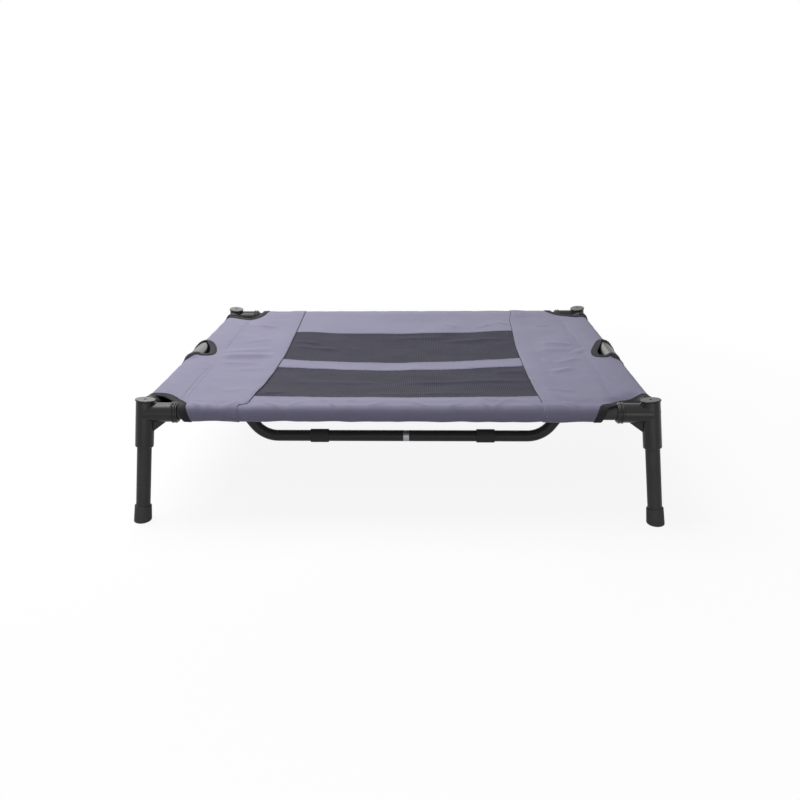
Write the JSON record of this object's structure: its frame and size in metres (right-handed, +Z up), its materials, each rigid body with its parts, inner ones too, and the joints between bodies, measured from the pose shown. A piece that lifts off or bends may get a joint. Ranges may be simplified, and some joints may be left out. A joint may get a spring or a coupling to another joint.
{
  "type": "raised dog cot",
  "caption": "Low raised pet cot: leaning tube legs in moulded corners, a U-shaped centre brace and a sewn cover of solid and mesh panels sleeved on the rails.",
  "frame": {"origin": "on the floor under the middle of the cot", "axes": "+X to the cot's right along its longer side, +Y to the rear, +Z up"},
  "size_m": [0.7608, 0.6158, 0.1817],
  "materials": {
    "moulded_plastic": "fine satin grain",
    "coated_tube": "black powder coat",
    "bare_steel": "dull zinc",
    "rubber": "matt",
    "cover_cloth": "coated woven cloth",
    "cover_mesh": "fine open mesh",
    "binding_tape": "woven tape"
  },
  "bodies": {
    "frame_and_cover": {"corner_front_left": "moulded_plastic", "cap_front_left": "moulded_plastic", "binding_front_left": "binding_tape", "corner_front_right": "moulded_plastic", "cap_front_right": "moulded_plastic", "binding_front_right": "binding_tape", "corner_rear_left": "moulded_plastic", "cap_rear_left": "moulded_plastic", "binding_rear_left": "binding_tape", "corner_rear_right": "moulded_plastic", "cap_rear_right": "moulded_plastic", "binding_rear_right": "binding_tape", "rail_front_left": "coated_tube", "rail_front_right": "coated_tube", "rail_rear_left": "coated_tube", "rail_rear_right": "coated_tube", "rail_left_front": "coated_tube", "rail_left_rear": "coated_tube", "rail_right_front": "coated_tube", "rail_right_rear": "coated_tube", "tee_left": "moulded_plastic", "brace_left": "coated_tube", "brace_pad_left": "rubber", "cover_left": "cover_cloth", "binding_notch_left": "binding_tape", "tee_right": "moulded_plastic", "brace_right": "coated_tube", "brace_pad_right": "rubber", "cover_right": "cover_cloth", "binding_notch_right": "binding_tape", "joiner_front": "bare_steel", "joiner_rear": "bare_steel", "joiner_brace": "bare_steel", "cover_front": "cover_cloth", "cover_centre": "cover_cloth", "cover_rear": "cover_cloth", "mesh_front": "cover_mesh", "mesh_rear": "cover_mesh"},
    "front_left_leg": {"leg_front_left": "coated_tube", "foot_front_left": "rubber"},
    "front_right_leg": {"leg_front_right": "coated_tube", "foot_front_right": "rubber"},
    "rear_left_leg": {"leg_rear_left": "coated_tube", "foot_rear_left": "rubber"},
    "rear_right_leg": {"leg_rear_right": "coated_tube", "foot_rear_right": "rubber"}
  },
  "joints": [
    {"name": "front_left_leg_pull", "type": "slide", "parent": "frame_and_cover", "child": "front_left_leg", "axis": [-0.104, -0.104, -0.9891], "range_m": [0, 0.045]},
    {"name": "front_right_leg_pull", "type": "slide", "parent": "frame_and_cover", "child": "front_right_leg", "axis": [0.104, -0.104, -0.9891], "range_m": [0, 0.045]},
    {"name": "rear_left_leg_pull", "type": "slide", "parent": "frame_and_cover", "child": "rear_left_leg", "axis": [-0.104, 0.104, -0.9891], "range_m": [0, 0.045]},
    {"name": "rear_right_leg_pull", "type": "slide", "parent": "frame_and_cover", "child": "rear_right_leg", "axis": [0.104, 0.104, -0.9891], "range_m": [0, 0.045]}
  ]
}
